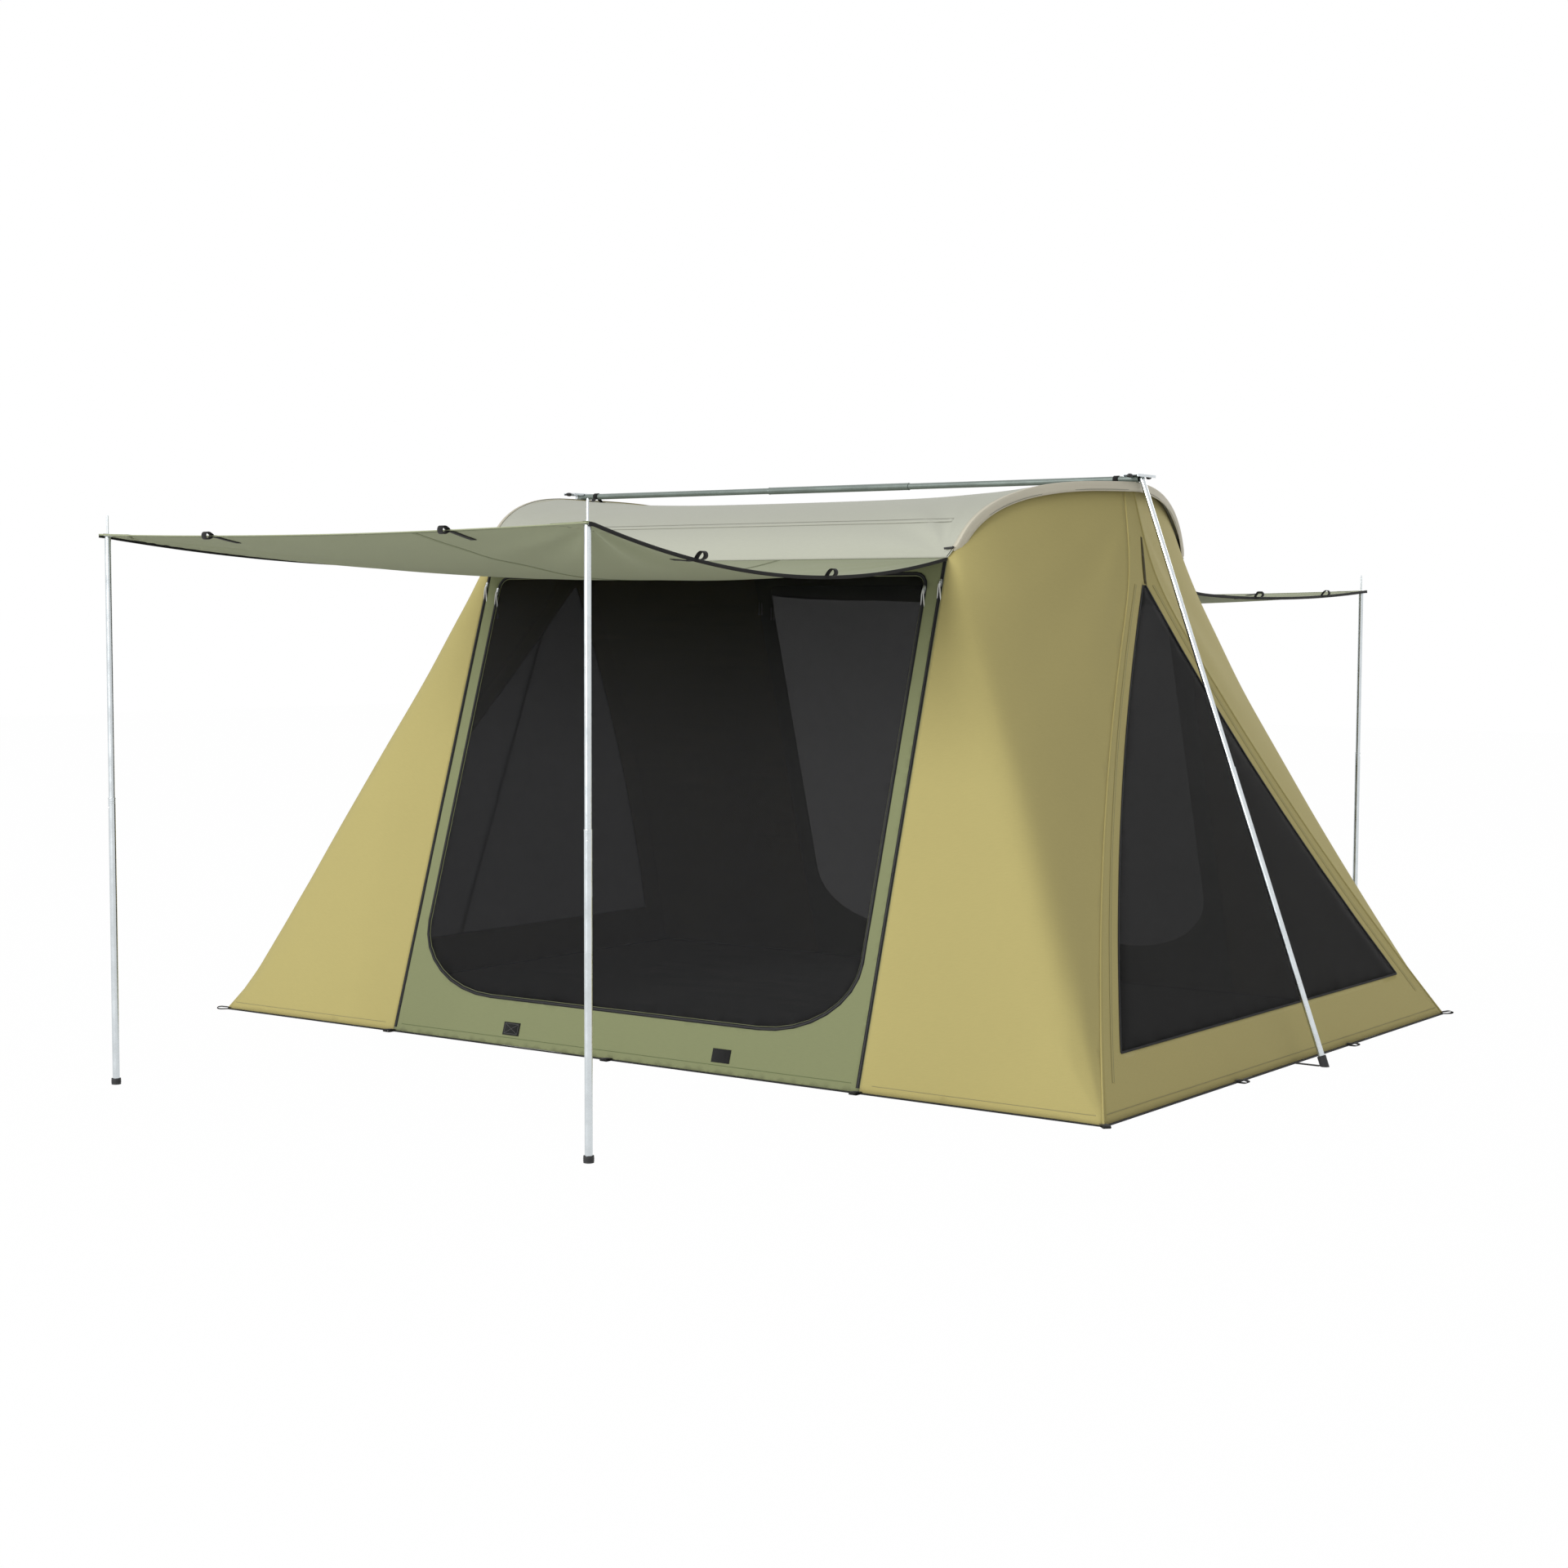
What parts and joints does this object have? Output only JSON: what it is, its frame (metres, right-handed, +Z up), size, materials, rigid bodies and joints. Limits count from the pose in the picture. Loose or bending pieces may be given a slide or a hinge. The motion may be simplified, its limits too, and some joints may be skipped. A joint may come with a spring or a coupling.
{
  "type": "screen tent",
  "caption": "Fly-screen cabin tent with a vaulted roof, flared canvas wings, mesh doors and end windows, a ridge bar with end poles, and an awning on poles at the front and at the back.",
  "frame": {"origin": "middle of the floor on the ground", "axes": "+X along the long front wall towards the right end, +Y from front to back, +Z up"},
  "size_m": [4.5562, 6.0035, 2.2622],
  "materials": {
    "groundsheet": "coated cloth",
    "green_canvas": "woven canvas",
    "awning_canvas": "woven canvas",
    "tan_canvas": "woven canvas",
    "roof_canvas": "woven canvas",
    "mesh_net": "fine fly net",
    "steel_tube": "galvanised",
    "ridge_tube": "satin paint",
    "black_webbing": "woven webbing",
    "zip_tape": "zip tape",
    "black_plastic": "moulded",
    "white_cord": "braided cord",
    "bow_rod": "glass-fibre rod"
  },
  "bodies": {
    "tent": {"groundsheet": "groundsheet", "front_wall": "green_canvas", "front_left_wing": "tan_canvas", "front_left_seam_zip": "zip_tape", "front_right_wing": "tan_canvas", "front_right_seam_zip": "zip_tape", "front_door_zip": "zip_tape", "back_wall": "green_canvas", "back_left_wing": "tan_canvas", "back_left_seam_zip": "zip_tape", "back_right_wing": "tan_canvas", "back_right_seam_zip": "zip_tape", "back_door_zip": "zip_tape", "left_end_wall": "tan_canvas", "left_window": "mesh_net", "left_bow_rod": "bow_rod", "left_ridge_tube": "ridge_tube", "left_bracket": "steel_tube", "left_foot_strap": "black_webbing", "right_end_wall": "tan_canvas", "right_window": "mesh_net", "right_bow_rod": "bow_rod", "right_ridge_tube": "ridge_tube", "right_bracket": "steel_tube", "right_foot_strap": "black_webbing", "roof": "roof_canvas", "ridge_sleeve": "ridge_tube"},
    "front_door": {"front_screen_door": "mesh_net"},
    "front_left_seam_slider": {"front_left_seam_slider": "white_cord"},
    "front_left_door_slider": {"front_left_door_slider": "white_cord"},
    "front_left_pole_top": {"front_left_pole_upper": "steel_tube"},
    "front_left_pole_stand": {"front_left_pole_lower": "steel_tube", "front_left_pole_foot": "black_plastic"},
    "front_right_seam_slider": {"front_right_seam_slider": "white_cord"},
    "front_right_door_slider": {"front_right_door_slider": "white_cord"},
    "front_right_pole_top": {"front_right_pole_upper": "steel_tube"},
    "front_right_pole_stand": {"front_right_pole_lower": "steel_tube", "front_right_pole_foot": "black_plastic"},
    "front_awning": {"front_awning": "awning_canvas"},
    "back_door": {"back_screen_door": "mesh_net"},
    "back_left_seam_slider": {"back_left_seam_slider": "white_cord"},
    "back_left_door_slider": {"back_left_door_slider": "white_cord"},
    "back_left_pole_top": {"back_left_pole_upper": "steel_tube"},
    "back_left_pole_stand": {"back_left_pole_lower": "steel_tube", "back_left_pole_foot": "black_plastic"},
    "back_right_seam_slider": {"back_right_seam_slider": "white_cord"},
    "back_right_door_slider": {"back_right_door_slider": "white_cord"},
    "back_right_pole_top": {"back_right_pole_upper": "steel_tube"},
    "back_right_pole_stand": {"back_right_pole_lower": "steel_tube", "back_right_pole_foot": "black_plastic"},
    "back_awning": {"back_awning": "awning_canvas"},
    "left_end_pole": {"left_end_pole_upper": "steel_tube", "left_end_pole_lower": "steel_tube", "left_end_pole_foot": "black_plastic"},
    "right_end_pole": {"right_end_pole_upper": "steel_tube", "right_end_pole_lower": "steel_tube", "right_end_pole_foot": "black_plastic"}
  },
  "joints": [
    {"name": "front_awning_pitch", "type": "hinge", "parent": "tent", "child": "front_awning", "pos_m": [0, -0.93971, 1.92], "axis": [-1, 0, 0], "range_deg": [-10, 10]},
    {"name": "front_left_pole_tilt", "type": "hinge", "parent": "front_awning", "child": "front_left_pole_top", "pos_m": [-1.115, -2.97971, 1.9702], "axis": [-1, 0, 0], "range_deg": [-10.5, 10.5]},
    {"name": "front_left_pole_slide", "type": "slide", "parent": "front_left_pole_top", "child": "front_left_pole_stand", "axis": [0, 0, 1], "range_m": [-0.37, 0.37]},
    {"name": "front_right_pole_tilt", "type": "hinge", "parent": "front_awning", "child": "front_right_pole_top", "pos_m": [1.115, -2.97971, 1.969], "axis": [-1, 0, 0], "range_deg": [-10.5, 10.5]},
    {"name": "front_right_pole_slide", "type": "slide", "parent": "front_right_pole_top", "child": "front_right_pole_stand", "axis": [0, 0, 1], "range_m": [-0.37, 0.37]},
    {"name": "front_door_swing", "type": "hinge", "parent": "tent", "child": "front_door", "pos_m": [0, -0.95792, 1.85272], "axis": [-1, 0, 0], "range_deg": [0, 50]},
    {"name": "front_left_seam_slide", "type": "slide", "parent": "tent", "child": "front_left_seam_slider", "axis": [-0.007, -0.2937, -0.9559], "range_m": [0, 1.7]},
    {"name": "front_left_door_slide", "type": "slide", "parent": "tent", "child": "front_left_door_slider", "axis": [-0.007, -0.2937, -0.9559], "range_m": [0, 1.35]},
    {"name": "front_right_seam_slide", "type": "slide", "parent": "tent", "child": "front_right_seam_slider", "axis": [0.007, -0.2937, -0.9559], "range_m": [0, 1.7]},
    {"name": "front_right_door_slide", "type": "slide", "parent": "tent", "child": "front_right_door_slider", "axis": [0.007, -0.2937, -0.9559], "range_m": [0, 1.35]},
    {"name": "back_awning_pitch", "type": "hinge", "parent": "tent", "child": "back_awning", "pos_m": [0, 0.93971, 1.92], "axis": [1, 0, 0], "range_deg": [-10, 10]},
    {"name": "back_left_pole_tilt", "type": "hinge", "parent": "back_awning", "child": "back_left_pole_top", "pos_m": [-1.115, 2.97971, 1.83552], "axis": [1, 0, 0], "range_deg": [-10.5, 10.5]},
    {"name": "back_left_pole_slide", "type": "slide", "parent": "back_left_pole_top", "child": "back_left_pole_stand", "axis": [0, 0, 1], "range_m": [-0.37, 0.37]},
    {"name": "back_right_pole_tilt", "type": "hinge", "parent": "back_awning", "child": "back_right_pole_top", "pos_m": [1.115, 2.97971, 1.83552], "axis": [1, 0, 0], "range_deg": [-10.5, 10.5]},
    {"name": "back_right_pole_slide", "type": "slide", "parent": "back_right_pole_top", "child": "back_right_pole_stand", "axis": [0, 0, 1], "range_m": [-0.37, 0.37]},
    {"name": "back_door_swing", "type": "hinge", "parent": "tent", "child": "back_door", "pos_m": [0, 0.95792, 1.85272], "axis": [1, 0, 0], "range_deg": [0, 30]},
    {"name": "back_left_seam_slide", "type": "slide", "parent": "tent", "child": "back_left_seam_slider", "axis": [-0.007, 0.2937, -0.9559], "range_m": [0, 1.7]},
    {"name": "back_left_door_slide", "type": "slide", "parent": "tent", "child": "back_left_door_slider", "axis": [-0.007, 0.2937, -0.9559], "range_m": [0, 1.35]},
    {"name": "back_right_seam_slide", "type": "slide", "parent": "tent", "child": "back_right_seam_slider", "axis": [0.007, 0.2937, -0.9559], "range_m": [0, 1.7]},
    {"name": "back_right_door_slide", "type": "slide", "parent": "tent", "child": "back_right_door_slider", "axis": [0.007, 0.2937, -0.9559], "range_m": [0, 1.35]},
    {"name": "left_end_pole_swing", "type": "hinge", "parent": "tent", "child": "left_end_pole", "pos_m": [-1.447, 0, 2.2462], "axis": [0, 1, 0], "range_deg": [0, 25]},
    {"name": "right_end_pole_swing", "type": "hinge", "parent": "tent", "child": "right_end_pole", "pos_m": [1.447, 0, 2.2462], "axis": [0, -1, 0], "range_deg": [0, 25]}
  ],
  "couplings": [
    {"joint": "front_left_pole_tilt", "follows": "front_awning_pitch", "ratio": -1},
    {"joint": "front_left_pole_slide", "follows": "front_awning_pitch", "m_per_rad": -2.04},
    {"joint": "front_right_pole_tilt", "follows": "front_awning_pitch", "ratio": -1},
    {"joint": "front_right_pole_slide", "follows": "front_awning_pitch", "m_per_rad": -2.04},
    {"joint": "back_left_pole_tilt", "follows": "back_awning_pitch", "ratio": -1},
    {"joint": "back_left_pole_slide", "follows": "back_awning_pitch", "m_per_rad": -2.04},
    {"joint": "back_right_pole_tilt", "follows": "back_awning_pitch", "ratio": -1},
    {"joint": "back_right_pole_slide", "follows": "back_awning_pitch", "m_per_rad": -2.04}
  ]
}
